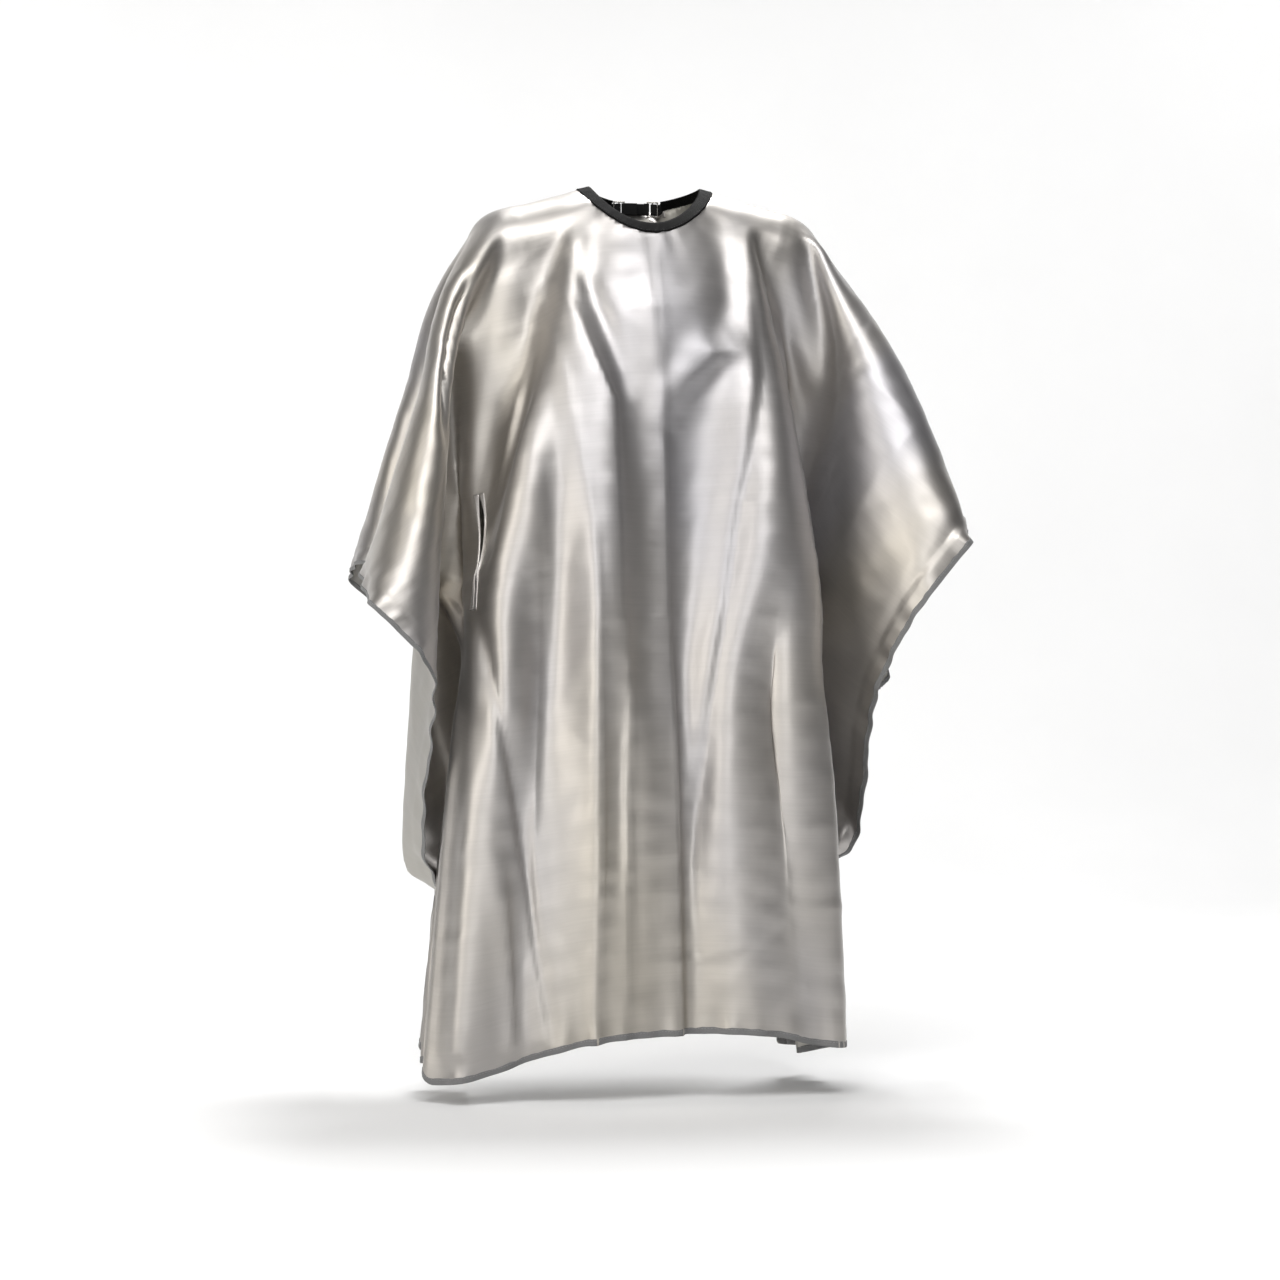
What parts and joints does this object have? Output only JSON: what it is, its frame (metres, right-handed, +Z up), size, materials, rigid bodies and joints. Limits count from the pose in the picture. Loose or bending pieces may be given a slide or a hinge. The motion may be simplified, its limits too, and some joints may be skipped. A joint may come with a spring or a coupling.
{
  "type": "barber cape",
  "caption": "Satin barber cape with a bound neck ring, bound hems, two hand slits and a webbing strap between two metal slides at the nape.",
  "frame": {"origin": "middle of the neck opening, level with the tops of the shoulders", "axes": "+Z up, the wearer faces -Y, and +X is the wearer's left"},
  "size_m": [0.7582, 0.3916, 1.0867],
  "materials": {
    "satin": "silver champagne satin, metallic sheen",
    "neck_tape": "matte black ribbed tape",
    "hem_tape": "grey woven binding tape",
    "thread": "polyester sewing thread",
    "webbing": "black woven webbing",
    "touch_tape": "black hook and loop tape",
    "slide_metal": "bright nickel plated wire"
  },
  "bodies": {
    "cape": {"cape_cloth": "satin", "neck_binding": "neck_tape", "hem_binding": "hem_tape", "neck_stitching": "thread", "hem_stitching": "thread", "slit_welt_left": "satin", "slit_welt_right": "satin", "tab_left": "webbing", "tab_right": "webbing", "tack_left": "thread", "tack_right": "thread"},
    "left_slide": {"slide_left": "slide_metal"},
    "right_slide": {"slide_right": "slide_metal"},
    "strap": {"strap": "webbing", "loop_patch": "touch_tape", "strap_tack": "thread"},
    "tail": {"strap_tail": "webbing", "hook_patch": "touch_tape"}
  },
  "joints": [
    {"name": "left_slide_tilt", "type": "hinge", "parent": "cape", "child": "left_slide", "pos_m": [-0.0215, 0.067, 0.013], "axis": [0, 0, 1], "range_deg": [0, 15]},
    {"name": "right_slide_tilt", "type": "hinge", "parent": "cape", "child": "right_slide", "pos_m": [0.0215, 0.067, 0.013], "axis": [0, 0, -1], "range_deg": [0, 15]},
    {"name": "strap_lift", "type": "slide", "parent": "cape", "child": "strap", "axis": [0, 1, 0], "range_m": [0, 0.0018]},
    {"name": "tail_peel", "type": "hinge", "parent": "strap", "child": "tail", "pos_m": [-0.015, 0.067, 0.013], "axis": [0, 0, -1], "range_deg": [0, 100]}
  ],
  "couplings": [
    {"joint": "right_slide_tilt", "follows": "left_slide_tilt", "ratio": 1},
    {"joint": "strap_lift", "follows": "left_slide_tilt", "m_per_rad": 0.00643}
  ]
}
